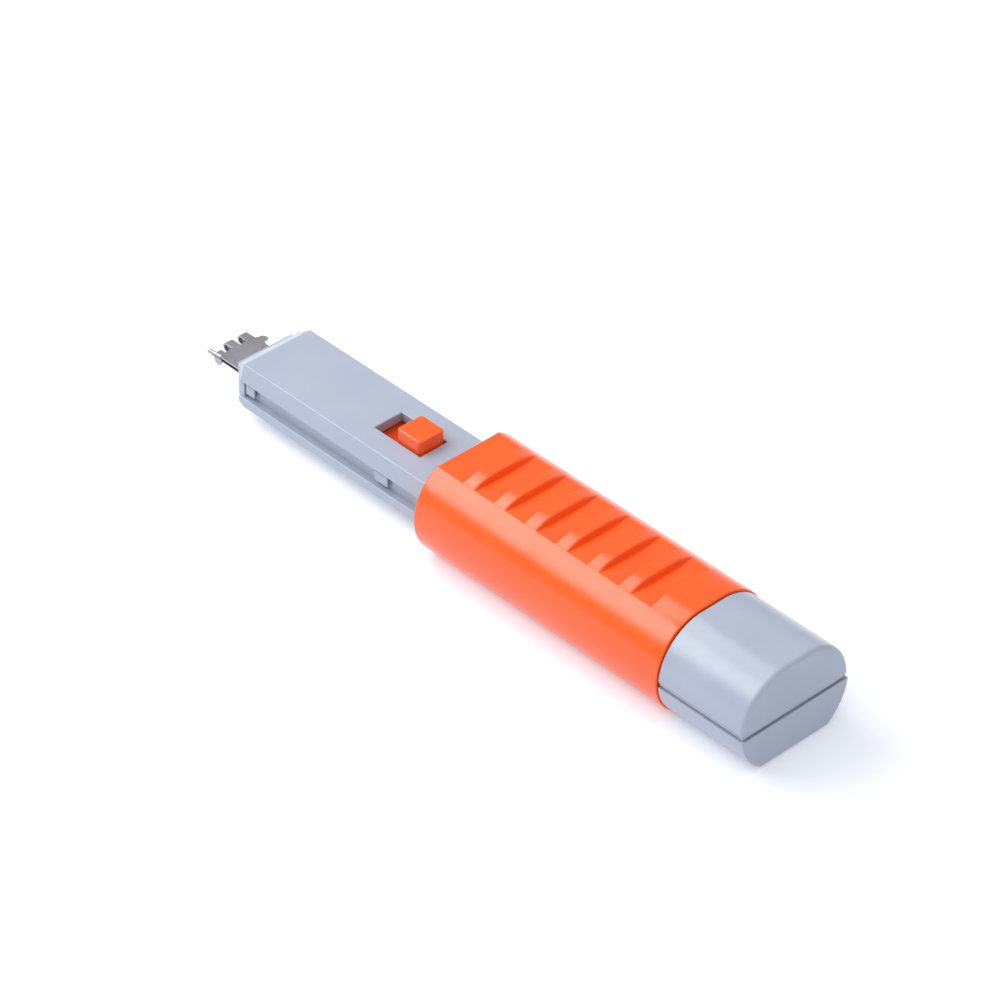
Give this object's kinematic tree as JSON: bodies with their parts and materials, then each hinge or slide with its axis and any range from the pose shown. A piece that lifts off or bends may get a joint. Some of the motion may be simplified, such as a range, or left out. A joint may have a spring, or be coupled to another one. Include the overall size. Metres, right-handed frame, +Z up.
{
  "type": "utility knife",
  "caption": "Slim hand knife with a notched steel head, a thumb slide in a grey slider and a ribbed orange sleeve that slides forward as a guard.",
  "frame": {"origin": "bottom centre of the whole tool at rest, on the plane that the sleeve's flat underside rests on", "axes": "+X along the tool towards the rear cap, so the steel head points to -X; +Z up through the thumb button; +Y to the side"},
  "size_m": [0.1476, 0.0262, 0.0196],
  "materials": {
    "grey_plastic": "satin moulded, fine matt texture",
    "orange_plastic": "satin gloss moulded",
    "stamped_steel": "bright stamped sheet, fine grain",
    "blackened_steel": "black oxide",
    "zinc_steel": "zinc plated",
    "spring_steel": "drawn wire and strip",
    "black_rubber": "matt"
  },
  "bodies": {
    "housing": {"upper_shell": "grey_plastic", "lower_shell": "grey_plastic", "nose_guide": "grey_plastic", "rear_screw": "zinc_steel", "front_screw": "zinc_steel", "spring_stop_plate": "zinc_steel", "rubber_bumper": "black_rubber"},
    "carriage": {"carriage": "orange_plastic", "thumb_button": "orange_plastic", "button_screw": "zinc_steel", "head_upper_plate": "stamped_steel", "head_lower_plate": "blackened_steel", "head_pin_rear": "zinc_steel", "head_pin_front": "zinc_steel", "pull_rod": "zinc_steel", "thrust_washer": "zinc_steel", "rod_nut": "zinc_steel", "return_spring": "spring_steel"},
    "guard": {"guard_sleeve": "orange_plastic", "friction_spring": "spring_steel", "spring_rivet": "zinc_steel"}
  },
  "joints": [
    {"name": "thumb_slide", "type": "slide", "parent": "housing", "child": "carriage", "axis": [-1, 0, 0], "range_m": [0, 0.00525], "stiffness_N_per_m": 150, "springref_m": -0.005, "deforming": ["return_spring"]},
    {"name": "guard_slide", "type": "slide", "parent": "housing", "child": "guard", "axis": [-1, 0, 0], "range_m": [0, 0.066]}
  ]
}
